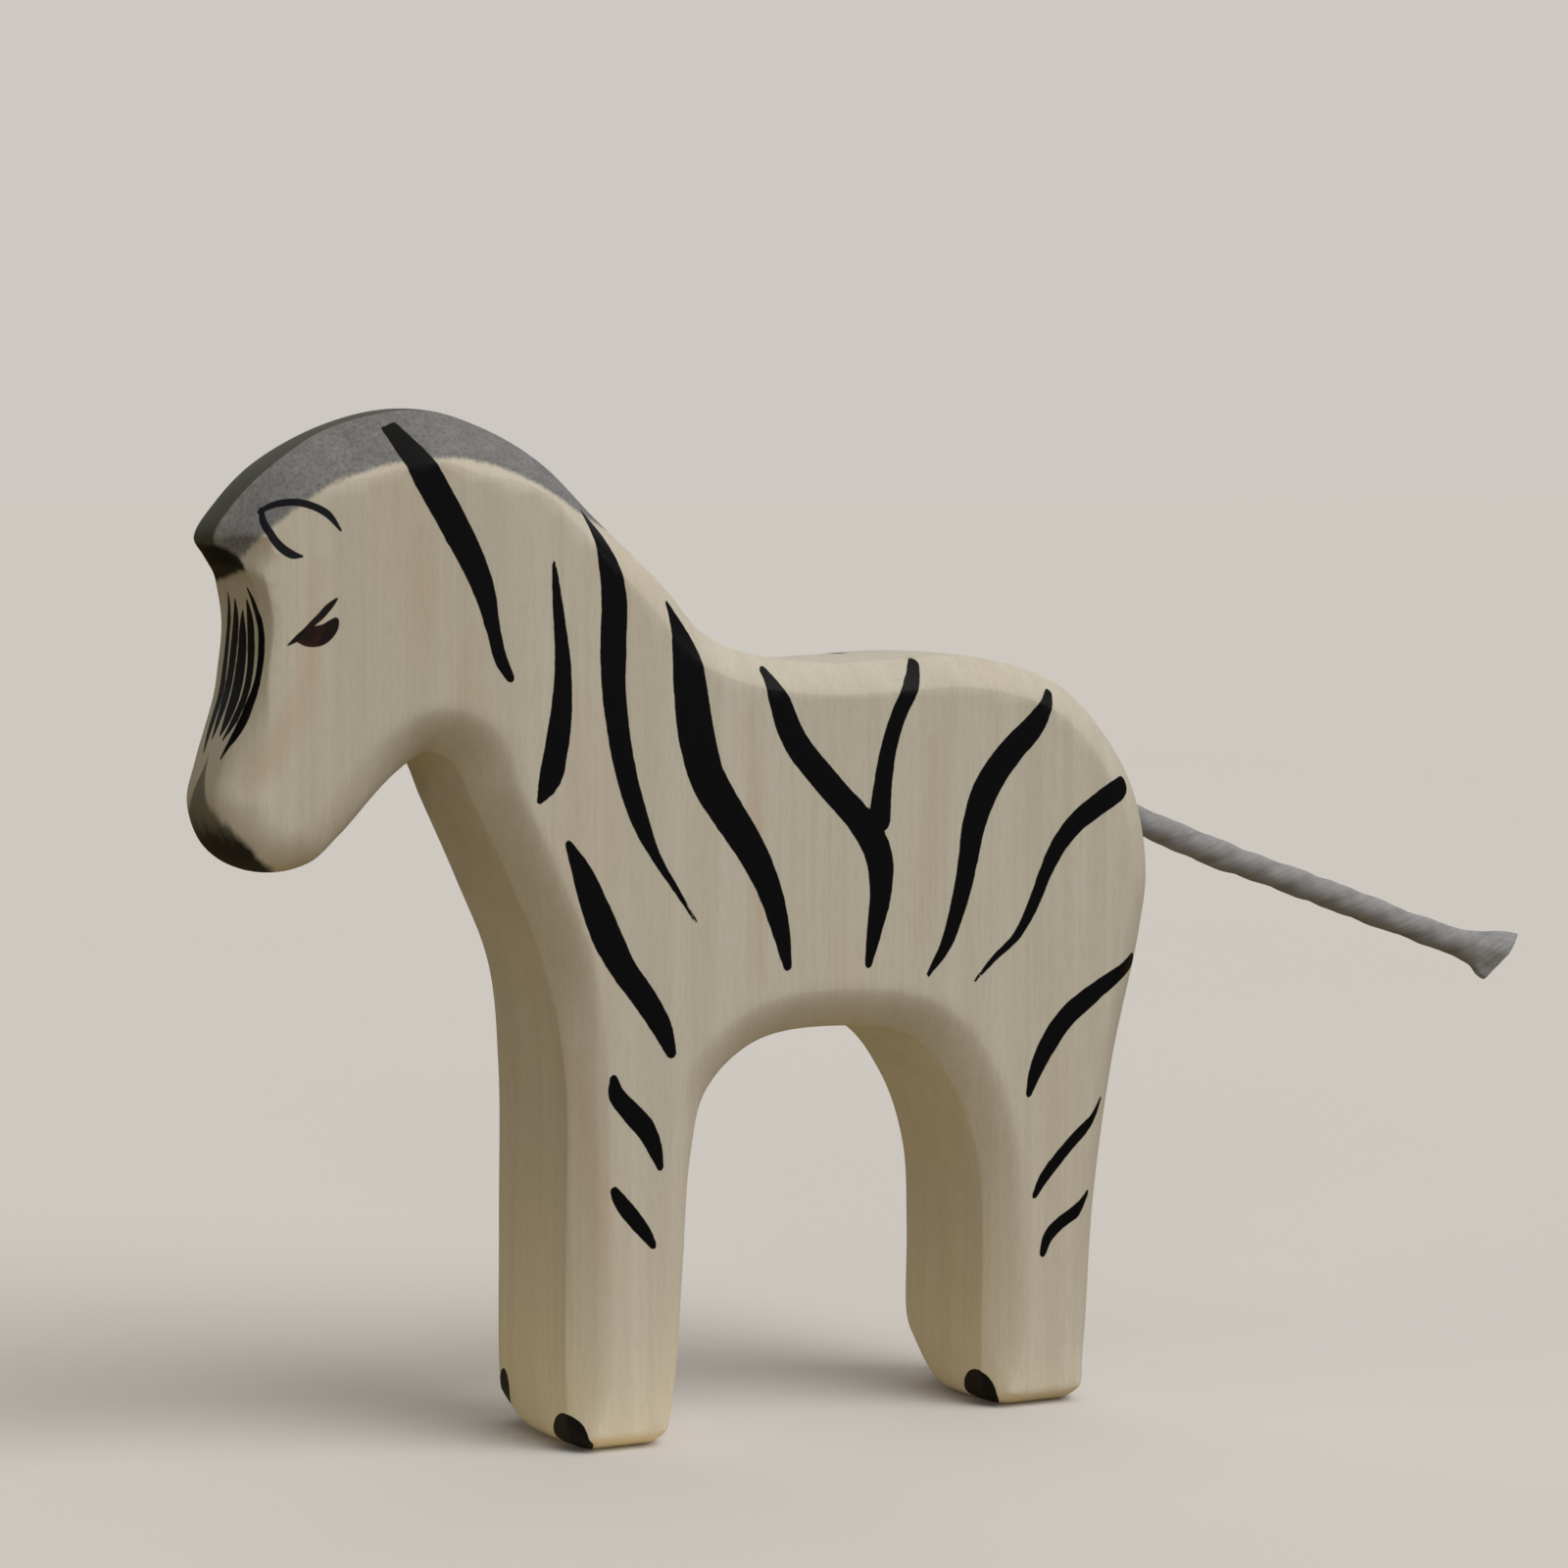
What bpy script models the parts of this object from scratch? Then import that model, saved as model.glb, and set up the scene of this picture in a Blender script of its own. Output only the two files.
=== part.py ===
"""Zebra figurine: a standing zebra cut from one hardwood board, painted, with a tail of twisted
cotton cord glued into a blind hole in the rump.

Metres, +Z up. X runs along the body with the head towards -X, Y across the board. The origin is on
the ground, below the middle of the wooden body.
"""

import math

import bmesh
import bpy
import numpy as np
from mathutils import Vector
from mathutils.geometry import delaunay_2d_cdt

for old in list(bpy.data.objects):
    bpy.data.objects.remove(old, do_unlink=True)

# The wooden body
HEIGHT = 0.130
THICKNESS = 0.0272
HEAD_THICKNESS = 0.0170
HEAD_TAPER = (-0.19, -0.48)  # where the board starts to thin and is thinnest, along X, in heights

# The rubbed-down edge of each stretch: its width in the board's plane, and its depth into the board
FORELOCK_EDGE = (0.0045, 0.0052)
CREST_EDGE = (0.0066, 0.0076)
NECK_EDGE = (0.0044, 0.0060)
BACK_EDGE = (0.0041, 0.0035)
LEG_EDGE = (0.0046, 0.0035)
SOLE_EDGE = (0.0021, 0.0035)
ARCH_EDGE = (0.0053, 0.0036)
CHEST_EDGE = (0.0048, 0.0047)
THROAT_EDGE = (0.0055, 0.0048)
MUZZLE_EDGE = (0.0036, 0.0042)
NOSE_EDGE = (0.0020, 0.0026)
EDGE_SHAPE = 1.35  # 1 is a straight chamfer, 2 a round
LEAST_RIM = 0.0024  # the edges leave at least this much of the board's thickness

# The tail's cord and the hole that holds it
TAIL_DIAMETER = 0.0038
TAIL_FLARE = 2.1  # the splayed end, in diameters of the cord
FLARE_LENGTH = 0.0080
SOCKET_DEPTH = 0.0090
GLUE_GAP = 0.0003
TAIL_ROOT = (0.4835, 0.601)  # the middle of the hole's mouth, in heights
# The cord's middle line from the mouth of its hole
TAIL_ROUTE = [
    (0.0000, 0.0, 0.0000),
    (0.0090, 0.0, -0.0036),
    (0.0195, 0.0, -0.0077),
    (0.0300, 0.0, -0.0113),
    (0.0400, 0.0, -0.0148),
    (0.0500, 0.0, -0.0184),
    (0.0600, 0.0, -0.0218),
    (0.0663, 0.0, -0.0236),
]

# How finely the forms are cut
OUTLINE_POINTS = 216
SAMPLES = 8  # places between two points of the outline from which the edges are measured
EDGE_STEPS = 4
RING_CLEARANCE = 0.93  # a ring ends where another edge comes nearer than this share of its inset
SIDE_SPACING = 0.0065
CLOSEST = 0.35  # of the outline's spacing, the least between two points of a side
SPAN_POINTS = 24  # places read from each span of a smooth curve
CORD_POINTS = 26
SOCKET_SIDES = 20

# The side view, clockwise from the forelock's tip, in heights above the ground and along X
STRETCHES = [
    (FORELOCK_EDGE, [(-0.4945, 0.884), (-0.474, 0.915), (-0.436, 0.950)]),
    (CREST_EDGE, [(-0.375, 0.984), (-0.295, 1.000), (-0.235, 0.984)]),
    (NECK_EDGE, [(-0.180, 0.951), (-0.120, 0.896)]),
    (BACK_EDGE, [(-0.059, 0.833), (-0.015, 0.786), (0.035, 0.7655), (0.110, 0.7555),
                 (0.190, 0.7570), (0.265, 0.7600), (0.325, 0.7510), (0.386, 0.729),
                 (0.437, 0.683), (0.476, 0.621)]),
    (LEG_EDGE, [(0.493, 0.540), (0.485, 0.475), (0.4535, 0.345), (0.431, 0.200),
                (0.421, 0.060)]),
    (SOLE_EDGE, [(0.413, 0.013), (0.392, 0.0), (0.328, 0.0), (0.305, 0.010)]),
    (LEG_EDGE, [(0.300, 0.060), (0.301, 0.165), (0.296, 0.250)]),
    (ARCH_EDGE, [(0.270, 0.322), (0.221, 0.3795), (0.120, 0.3965), (0.040, 0.385),
                 (-0.012, 0.341)]),
    (LEG_EDGE, [(-0.029, 0.280), (-0.038, 0.165), (-0.047, 0.055)]),
    (SOLE_EDGE, [(-0.058, 0.011), (-0.080, 0.0), (-0.135, 0.0), (-0.158, 0.010)]),
    (LEG_EDGE, [(-0.163, 0.055), (-0.163, 0.200), (-0.163, 0.360)]),
    (CHEST_EDGE, [(-0.178, 0.462), (-0.212, 0.545), (-0.252, 0.628)]),
    (THROAT_EDGE, [(-0.272, 0.667), (-0.296, 0.678), (-0.325, 0.660)]),
    (MUZZLE_EDGE, [(-0.383, 0.600), (-0.412, 0.575), (-0.455, 0.569), (-0.488, 0.591),
                   (-0.5025, 0.632), (-0.494, 0.670)]),
    (NOSE_EDGE, [(-0.467, 0.745), (-0.461, 0.800), (-0.467, 0.840)]),
    (FORELOCK_EDGE, [(-0.488, 0.864)]),
]


def smooth_curve(points, count, closed):
    """Centripetal Catmull-Rom curve through the points, read at places evenly spaced along it. Only
    the first two columns of a closed curve are its plane: the others are carried along."""
    points = np.asarray(points, float)
    if closed:
        knots = np.vstack([points[-1], points, points[:2]])
        last = points[:1]
        plane = slice(0, 2)
    else:
        knots = np.vstack([2 * points[0] - points[1], points, 2 * points[-1] - points[-2]])
        last = points[-1:]
        plane = slice(0, 3)
    steps = np.sqrt(np.linalg.norm(np.diff(knots[:, plane], axis=0), axis=1))
    runs = []
    for i in range(1, len(knots) - 2):
        a, b, c, d = knots[i - 1 : i + 3]
        before, step, after = steps[i - 1 : i + 2]
        start = (b - a) / before - (c - a) / (before + step) + (c - b) / step
        end = (c - b) / step - (d - b) / (step + after) + (d - c) / after
        t = np.linspace(0, 1, SPAN_POINTS, endpoint=False)[:, None]
        runs.append(
            (2 * t**3 - 3 * t**2 + 1) * b
            + (t**3 - 2 * t**2 + t) * start * step
            + (3 * t**2 - 2 * t**3) * c
            + (t**3 - t**2) * end * step
        )
    dense = np.vstack(runs + [last])
    steps = np.linalg.norm(np.diff(dense[:, plane], axis=0), axis=1)
    length = np.concatenate([[0], np.cumsum(steps)])
    wanted = np.linspace(0, length[-1], count, endpoint=not closed)
    return np.stack([np.interp(wanted, length, column) for column in dense.T], axis=1)


def side_view(count):
    """Points of the outline, each with its edge's width and depth, and X of the body's middle."""
    rows = [(x, z, *edge) for edge, points in STRETCHES for x, z in points]
    curve = smooth_curve(rows, count, closed=True)
    outline = curve[:, :2] * HEIGHT
    outline[:, 1] = np.maximum(outline[:, 1], 0.0)
    outline[:, 1] *= HEIGHT / outline[:, 1].max()
    middle = (outline[:, 0].min() + outline[:, 0].max()) / 2
    outline[:, 0] -= middle
    return outline, curve[:, 2], curve[:, 3], middle


def distances(points, others):
    """Distance from each point to each of the others."""
    return np.linalg.norm(points[:, None] - others[None], axis=2)


def half_thickness(x):
    """Half the board's thickness: even over the trunk, thinner towards the nose by a soft S."""
    start, end = (share * HEIGHT for share in HEAD_TAPER)
    t = np.clip((start - x) / (start - end), 0, 1)
    return (THICKNESS - (THICKNESS - HEAD_THICKNESS) * t * t * (3 - 2 * t)) / 2


def side_height(points, outline, width, depth):
    """Height of the side over the middle plane: each stretch of edge takes wood away near itself,
    along a superellipse, and the deepest cut counts."""
    left = np.clip(1 - distances(points, outline) / width, 0, 1)
    cut = depth * (1 - (1 - left**EDGE_SHAPE) ** (1 / EDGE_SHAPE))
    return np.maximum(half_thickness(points[:, 0]) - cut.max(axis=1), LEAST_RIM / 2)


def side_points(outline, width, samples):
    """Points on rings along the edge, then a hexagonal lattice over the flat of the side."""
    along = np.roll(outline, -1, axis=0) - np.roll(outline, 1, axis=0)
    spacing = np.linalg.norm(along, axis=1) / 2
    inward = np.stack([along[:, 1], -along[:, 0]], axis=1) / (2 * spacing[:, None])
    found = []
    for step in range(1, EDGE_STEPS + 1):
        turn = math.pi / 2 * step / EDGE_STEPS
        inset = width * (1 - math.cos(turn) ** (2 / EDGE_SHAPE))
        ring = outline + inward * inset[:, None]
        nearest = distances(ring, samples).min(axis=1)
        found.append(ring[nearest > RING_CLEARANCE * inset])
    rows = np.arange(0, HEIGHT, SIDE_SPACING * math.sqrt(3) / 2)
    columns = np.arange(outline[:, 0].min(), outline[:, 0].max(), SIDE_SPACING)
    x, z = np.meshgrid(columns, rows)
    x[1::2] += SIDE_SPACING / 2
    lattice = np.stack([x.ravel(), z.ravel()], axis=1)
    clear = distances(lattice, samples).min(axis=1) > width.max() + SIDE_SPACING / 3
    found = np.vstack(found + [lattice[clear]])
    apart = distances(found, found)
    kept = np.ones(len(found), bool)
    for i in range(len(found)):
        if kept[i]:
            kept[i + 1 :] &= apart[i, i + 1 :] > CLOSEST * spacing.mean()
    return found[kept]


def carved_body():
    """The board as one closed mesh: its rim, and two mirrored sides over a triangulated outline."""
    outline, width, _, middle = side_view(OUTLINE_POINTS)
    samples, sample_width, sample_depth, _ = side_view(OUTLINE_POINTS * SAMPLES)
    flat = np.vstack([outline, side_points(outline, width, samples)])
    count = len(outline)
    border = [(i, (i + 1) % count) for i in range(count)]
    inside = 1
    places, _, faces, sources, _, _ = delaunay_2d_cdt(
        [Vector(place) for place in flat], border, [], inside, 1e-7
    )
    places = np.array([tuple(place) for place in places])
    height = side_height(places, samples, sample_width, sample_depth)

    mesh = bpy.data.meshes.new("body")
    built = bmesh.new()
    sides = []
    for sign in (-1, 1):
        sides.append([built.verts.new((x, sign * y, z)) for (x, z), y in zip(places, height)])
    for near, far in [sides, sides[::-1]]:
        for face in faces:
            built.faces.new([near[i] for i in face])
    around = {source: i for i, found in enumerate(sources) for source in found if source < count}
    for a, b in border:
        near_a, near_b = sides[0][around[a]], sides[0][around[b]]
        far_a, far_b = sides[1][around[a]], sides[1][around[b]]
        built.faces.new([near_a, near_b, far_b, far_a])
    bmesh.ops.recalc_face_normals(built, faces=built.faces)
    built.to_mesh(mesh)
    built.free()
    body = bpy.data.objects.new("body", mesh)
    bpy.context.collection.objects.link(body)
    return body, middle


def tail_mouth(middle):
    return Vector((TAIL_ROOT[0] * HEIGHT - middle, 0.0, TAIL_ROOT[1] * HEIGHT))


def tail_way():
    """The way the cord leaves the body."""
    return (Vector(TAIL_ROUTE[1]) - Vector(TAIL_ROUTE[0])).normalized()


def drill_socket(body, mouth):
    """A blind hole along the cord's first stretch, wider than the cord by the glue's gap."""
    clear = 2 * TAIL_DIAMETER
    length = SOCKET_DEPTH + clear
    built = bmesh.new()
    bmesh.ops.create_cone(
        built, cap_ends=True, segments=SOCKET_SIDES, depth=length,
        radius1=TAIL_DIAMETER / 2 + GLUE_GAP, radius2=TAIL_DIAMETER / 2 + GLUE_GAP,
    )
    mesh = bpy.data.meshes.new("socket_drill")
    built.to_mesh(mesh)
    built.free()
    drill = bpy.data.objects.new("socket_drill", mesh)
    bpy.context.collection.objects.link(drill)
    drill.rotation_euler = tail_way().to_track_quat("Z", "Y").to_euler()
    drill.location = mouth + tail_way() * (clear - SOCKET_DEPTH) / 2
    drill.hide_render = True
    drill.display_type = "WIRE"
    cut = body.modifiers.new("tail socket", "BOOLEAN")
    cut.operation = "DIFFERENCE"
    cut.object = drill


def tail_cord(mouth):
    """The cord from the bottom of its hole to its splayed end, as a tube that widens there."""
    bottom = -tail_way() * (SOCKET_DEPTH - GLUE_GAP)
    route = smooth_curve([tuple(bottom)] + TAIL_ROUTE, CORD_POINTS, closed=False)
    curve = bpy.data.curves.new("tail_cord", "CURVE")
    curve.dimensions = "3D"
    curve.bevel_depth = TAIL_DIAMETER / 2
    curve.bevel_resolution = 2
    curve.use_fill_caps = True
    spline = curve.splines.new("POLY")
    spline.points.add(len(route) - 1)
    steps = np.linalg.norm(np.diff(route, axis=0), axis=1)
    left = np.concatenate([np.cumsum(steps[::-1])[::-1], [0]])
    for point, place, to_end in zip(spline.points, route, left):
        point.co = (*(mouth + Vector(place)), 1.0)
        splay = max(0.0, 1 - to_end / FLARE_LENGTH)
        point.radius = 1 + (TAIL_FLARE - 1) * splay
    cord = bpy.data.objects.new("tail_cord", curve)
    bpy.context.collection.objects.link(cord)
    return cord


def finish(obj, name, colour, roughness):
    material = bpy.data.materials.new(name)
    material.use_nodes = True
    shader = material.node_tree.nodes["Principled BSDF"]
    shader.inputs["Base Color"].default_value = (*colour, 1.0)
    shader.inputs["Roughness"].default_value = roughness
    shader.inputs["Metallic"].default_value = 0.0
    obj.data.materials.append(material)


body, body_middle = carved_body()
body.data.shade_smooth()
body.data.set_sharp_from_angle(angle=math.radians(35))
drill_socket(body, tail_mouth(body_middle))
finish(body, "painted hardwood", (0.52, 0.45, 0.32), 0.5)

tail = tail_cord(tail_mouth(body_middle))
finish(tail, "grey cotton cord", (0.32, 0.32, 0.31), 0.9)
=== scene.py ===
import math

import bpy
import numpy as np
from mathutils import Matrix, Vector
from mathutils.geometry import delaunay_2d_cdt


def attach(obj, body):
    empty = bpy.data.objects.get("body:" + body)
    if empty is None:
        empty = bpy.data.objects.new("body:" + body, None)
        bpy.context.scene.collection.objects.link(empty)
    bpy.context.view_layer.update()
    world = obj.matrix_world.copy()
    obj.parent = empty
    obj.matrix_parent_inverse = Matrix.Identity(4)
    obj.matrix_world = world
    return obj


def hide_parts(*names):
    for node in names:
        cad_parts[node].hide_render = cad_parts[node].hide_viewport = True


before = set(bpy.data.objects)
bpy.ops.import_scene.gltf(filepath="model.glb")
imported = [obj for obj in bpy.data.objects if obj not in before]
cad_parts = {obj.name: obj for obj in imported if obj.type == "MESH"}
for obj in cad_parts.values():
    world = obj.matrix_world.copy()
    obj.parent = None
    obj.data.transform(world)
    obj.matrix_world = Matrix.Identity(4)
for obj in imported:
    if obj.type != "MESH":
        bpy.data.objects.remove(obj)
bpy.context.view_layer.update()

# The camera stands in front of the zebra's left side, level with its head, and looks past its nose
# along the body.
optics = bpy.data.cameras.new("camera")
optics.sensor_width = 36.0
optics.lens = 104.5
camera = bpy.data.objects.new("camera", optics)
camera.location = (-0.2611, -0.520, 0.1205)
camera.rotation_euler = (math.radians(86.27), 0.0, math.radians(-28.02))
bpy.context.scene.collection.objects.link(camera)
bpy.context.scene.camera = camera
bpy.context.scene.view_settings.view_transform = "Standard"

# The tail: a short length of grey cotton cord, two soft strands laid up loosely, one end glued
# into the rump's hole and the other cut slantwise and pressed into a flat brush of yarn.
MM = 0.001
TAIL_MOUTH = np.array([63.437, 0.0, 78.13]) * MM
TAIL_WAY = [(-8.08, 3.23), (0.0, 0.0), (9.0, -3.6), (19.5, -7.7), (30.0, -11.3), (40.0, -14.8),
            (50.0, -18.4), (60.0, -21.8), (67.4, -24.1)]  # mm from the mouth of the hole
TAIL_RADIUS = 1.9 * MM
TAIL_FULL = 1.03  # the radius over the crown of a strand, in radii
TAIL_LAY = 14.6 * MM  # one full turn of a strand
STRAND_DEPTH = 0.095  # how far the valleys between strands sink, in radii
PLY_LAY = 4.3 * MM  # one full turn of a ply
PLY_HEIGHT = 0.016  # how far a ply stands out, in radii
BRUSH_LENGTH = 8.0 * MM
BRUSH_HALF_WIDTH = 3.85 * MM
BRUSH_HALF_THICK = 1.1 * MM
BRUSH_FOLD = 0.30 * MM  # how far its folds stand out of its plane
CUT_SLANT = 0.5  # how far the cut runs ahead on top, in half widths
CUT_SHARE = 0.75  # the share of the brush's length over which it does so
TAIL_RINGS = 420
TAIL_AROUND = 72


def smooth_way(points, count, closed=False, plane=3):
    """Centripetal Catmull-Rom curve through the rows of points, read at count evenly spaced places:
    between two points it is the cubic whose tangents come from the four points around. Only the
    first plane columns are the curve's place, and the others are carried along."""
    p = np.asarray(points, float)
    if closed:
        p = np.vstack([p[-1], p, p[:2]])
    else:
        p = np.vstack([2 * p[0] - p[1], p, 2 * p[-1] - p[-2]])
    step = np.sqrt(np.linalg.norm(np.diff(p[:, :plane], axis=0), axis=1))[:, None]
    chord = np.diff(p, axis=0) / step
    across = (p[2:] - p[:-2]) / (step[:-1] + step[1:])
    slope = chord[:-1] - across + chord[1:]
    t = np.linspace(0, 1, 24, endpoint=False)[None, :, None]
    a, b = p[1:-2, None], p[2:-1, None]
    u, v = (slope[:-1] * step[1:-1])[:, None], (slope[1:] * step[1:-1])[:, None]
    runs = ((2 * t**3 - 3 * t**2 + 1) * a + (t**3 - 2 * t**2 + t) * u
            + (3 * t**2 - 2 * t**3) * b + (t**3 - t**2) * v)
    dense = np.vstack([runs.reshape(-1, p.shape[1]), p[-2]])
    gone = np.linalg.norm(np.diff(dense[:, :plane], axis=0), axis=1)
    length = np.concatenate([[0], np.cumsum(gone)])
    wanted = np.linspace(0, length[-1], count)
    return np.stack([np.interp(wanted, length, column) for column in dense.T], axis=1)


def mesh_from(name, places, *groups):
    """A smooth mesh object from an array of places and arrays of faces: each array holds faces with
    the same number of corners, one face in a row."""
    corners = np.concatenate([np.ravel(group) for group in groups])
    sizes = np.concatenate([np.full(len(group), len(group[0])) for group in groups])
    mesh = bpy.data.meshes.new(name)
    mesh.vertices.add(len(places))
    mesh.vertices.foreach_set("co", np.ravel(places).astype(np.float32))
    mesh.loops.add(len(corners))
    mesh.loops.foreach_set("vertex_index", corners.astype(np.int32))
    mesh.polygons.add(len(sizes))
    mesh.polygons.foreach_set("loop_start", (np.cumsum(sizes) - sizes).astype(np.int32))
    mesh.update(calc_edges=True)
    mesh.shade_smooth()
    made = bpy.data.objects.new(name, mesh)
    bpy.context.scene.collection.objects.link(made)
    return made


def ring_faces(rings, around):
    """Quads between the rings of a tube, in rows of one ring each."""
    row, column = np.meshgrid(np.arange(rings - 1), np.arange(around), indexing="ij")
    here = row * around + column
    beside = row * around + (column + 1) % around
    return np.stack([here, beside, beside + around, here + around], axis=-1).reshape(-1, 4)


def smooth_step(value):
    """0 below 0, 1 above 1, and between them the soft S t^2(3 - 2t)."""
    t = np.clip(value, 0, 1)
    return t * t * (3 - 2 * t)


tail_plane = smooth_way(TAIL_WAY, TAIL_RINGS) * MM
tail_line = TAIL_MOUTH + np.stack([tail_plane[:, 0], 0 * tail_plane[:, 0], tail_plane[:, 1]], axis=1)
tail_gone = np.concatenate([[0], np.cumsum(np.linalg.norm(np.diff(tail_line, axis=0), axis=1))])


def tail_surface(line, gone, around):
    """Tube round the line. Across it the radius is R(full - depth(1 - |cos a|)), with the angle a
    turning once per lay, a little unevenly, so that two strands wind round each other; the plies of a
    strand show as low ridges that wind the other way, and the cord swells and shrinks a little along
    the way. Near the cut the round section eases into a flat oval, a brush, folded twice along its
    length, whose end runs ahead on top in proportion to the height. Also gives how deep each place
    lies between strands and plies, 0 to 1."""
    way = np.gradient(line, axis=0)
    way /= np.linalg.norm(way, axis=1)[:, None]
    side = np.array([0.0, 1.0, 0.0])
    up = np.cross(way, side)
    angle = np.linspace(0, 2 * math.pi, around, endpoint=False)[None]
    s = gone[:, None]
    left = gone[-1] - s
    brush = smooth_step(1 - left / BRUSH_LENGTH)
    turn = angle - 2 * math.pi * s / TAIL_LAY - 0.4 * np.sin(s / (6.1 * MM))
    valley = 1 - np.abs(np.cos(turn))
    ply = np.sin(2 * angle + 2 * math.pi * s / PLY_LAY + 0.8 * np.sin(s / (3.7 * MM)))
    swell = 0.03 * np.sin(s / (3.9 * MM) + 1.0) + 0.02 * np.sin(s / (2.1 * MM))
    relief = swell - STRAND_DEPTH * valley + PLY_HEIGHT * ply
    radius = TAIL_RADIUS * (TAIL_FULL + (1 - TAIL_FULL) * brush + relief * (1 - brush))
    fold = 1 - brush * (0.12 + 0.10 * np.cos(2 * angle) + 0.03 * np.sin(11 * angle + 1.3))
    flat = 1 - brush + brush * BRUSH_HALF_THICK / TAIL_RADIUS
    wide = 1 - brush + brush * BRUSH_HALF_WIDTH / TAIL_RADIUS
    out_side = radius * flat * fold * np.sin(angle)
    out_side += brush * BRUSH_FOLD * np.cos(3 * angle + 0.6) * np.sin(angle) ** 2
    out_up = radius * wide * (1 - brush * (0.02 + 0.02 * np.sin(17 * angle))) * np.cos(angle)
    ahead = out_up * CUT_SLANT * smooth_step(1 - left / (BRUSH_LENGTH * CUT_SHARE))
    places = (line[:, None] + side * out_side[..., None] + up[:, None] * out_up[..., None]
              + way[:, None] * ahead[..., None])
    return places, np.clip(0.65 * valley + 0.35 * (0.5 - 0.5 * ply), 0, 1)


def keep_values(mesh, name, values):
    """Keeps one number for each point of the mesh, for its material to read under that name."""
    layer = mesh.attributes.new(name, "FLOAT", "POINT")
    layer.data.foreach_set("value", values.astype(np.float32))


tail_grid, tail_valley = tail_surface(tail_line, tail_gone, TAIL_AROUND)
tail_places = np.vstack([tail_grid.reshape(-1, 3), tail_grid[0].mean(axis=0), tail_grid[-1].mean(axis=0)])
tail_end = (TAIL_RINGS - 1) * TAIL_AROUND
tail_turn = np.arange(TAIL_AROUND)
tail_next = (tail_turn + 1) % TAIL_AROUND
tail = mesh_from(
    "tail_cotton", tail_places, ring_faces(TAIL_RINGS, TAIL_AROUND)[:, ::-1],
    np.stack([0 * tail_turn + len(tail_places) - 2, tail_turn, tail_next], axis=1),
    np.stack([0 * tail_turn + len(tail_places) - 1, tail_next + tail_end, tail_turn + tail_end], axis=1),
)
# Each point's place on a straight cord that turns back by the lay, so that the yarn's pattern
# follows the strands
lay_turn = (np.linspace(0, 2 * math.pi, TAIL_AROUND, endpoint=False)[None]
            - 2 * math.pi * tail_gone[:, None] / TAIL_LAY)
lay = np.stack([TAIL_RADIUS * np.cos(lay_turn), TAIL_RADIUS * np.sin(lay_turn),
                tail_gone[:, None] + 0 * lay_turn], axis=-1).reshape(-1, 3)
lay = np.vstack([lay, lay[0], lay[-1]])
layer = tail.data.attributes.new("lay", "FLOAT_VECTOR", "POINT")
layer.data.foreach_set("vector", lay.ravel().astype(np.float32))
keep_values(tail.data, "valley", np.append(tail_valley.ravel(), [0.5, 0.5]))


def colour(red, green, blue):
    """A linear colour from 0 to 255 values of a screen."""
    share = np.array([red, green, blue]) / 255
    return (*np.where(share < 0.04045, share / 12.92, ((share + 0.055) / 1.055) ** 2.4), 1.0)


def new_material(name):
    """A material with its node tree and its shader."""
    made = bpy.data.materials.new(name)
    made.use_nodes = True
    return made, made.node_tree, made.node_tree.nodes["Principled BSDF"]


def add(tree, kind, settings=None, **inputs):
    """A node of that kind, with its settings, and its inputs given as values or other sockets: an
    input goes by its name, with _ for a space, or as i0, i1 and so on by its place."""
    node = tree.nodes.new("ShaderNode" + kind)
    for key, value in (settings or {}).items():
        setattr(node, key, value)
    for key, value in inputs.items():
        socket = node.inputs[int(key[1:]) if key[1:].isdigit() else key.replace("_", " ")]
        if isinstance(value, bpy.types.NodeSocket):
            tree.links.new(value, socket)
        else:
            socket.default_value = value
    return node


def maths(tree, operation, a, b=0.0, c=0.0):
    """The operation on up to three numbers; MULTIPLY_ADD is a times b plus c."""
    return add(tree, "Math", {"operation": operation}, i0=a, i1=b, i2=c).outputs[0]


def mixed(tree, share, a, b):
    """Colour a turned towards b by that share."""
    return add(tree, "Mix", {"data_type": "RGBA"}, i0=share, i6=a, i7=b).outputs[2]


def laid(tree, mask, most, under, over):
    """The colour under with the colour over laid on it, whose share is the mask times most."""
    return mixed(tree, maths(tree, "MULTIPLY", mask, most), under, over)


def ramp(tree, value, low, high):
    """0 where the value is at low or past it, 1 at high or past it, with a soft S between them; low
    may be the greater one."""
    first, last = (0.0, 1.0) if low < high else (1.0, 0.0)
    return add(tree, "MapRange", {"interpolation_type": "SMOOTHSTEP"}, Value=value,
               From_Min=min(low, high), From_Max=max(low, high), To_Min=first,
               To_Max=last).outputs["Result"]


def noise(tree, place, scale, detail=2.0, rough=0.5, stretch=(1, 1, 1)):
    """Noise with features about 1/scale metres across, stretched along an axis where it is less."""
    moved = add(tree, "Mapping", Vector=place, Scale=stretch).outputs[0]
    return add(tree, "TexNoise", Vector=moved, Scale=scale, Detail=detail, Roughness=rough).outputs[0]


cotton, tree, shader = new_material("grey cotton cord")
lay = add(tree, "Attribute", {"attribute_name": "lay"}).outputs["Vector"]
valley = add(tree, "Attribute", {"attribute_name": "valley"}).outputs["Fac"]
yarn = noise(tree, lay, 1900, 3, 0.6, (1, 1, 0.13))
lint = noise(tree, add(tree, "TexCoord").outputs["Object"], 1000, 3, 0.6)
base = mixed(tree, ramp(tree, yarn, 0.30, 0.70), colour(134, 135, 137), colour(150, 151, 153))
# Painted shade: the cord is darker down in the valleys between the strands and the plies
base = laid(tree, ramp(tree, valley, 0.20, 1.0), 0.42, base, colour(104, 103, 105))
base = laid(tree, ramp(tree, lint, 0.50, 0.72), 0.35, base, colour(126, 124, 126))
tree.links.new(base, shader.inputs["Base Color"])
shader.inputs["Roughness"].default_value = 0.95
shader.inputs["Sheen Weight"].default_value = 0.12
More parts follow.
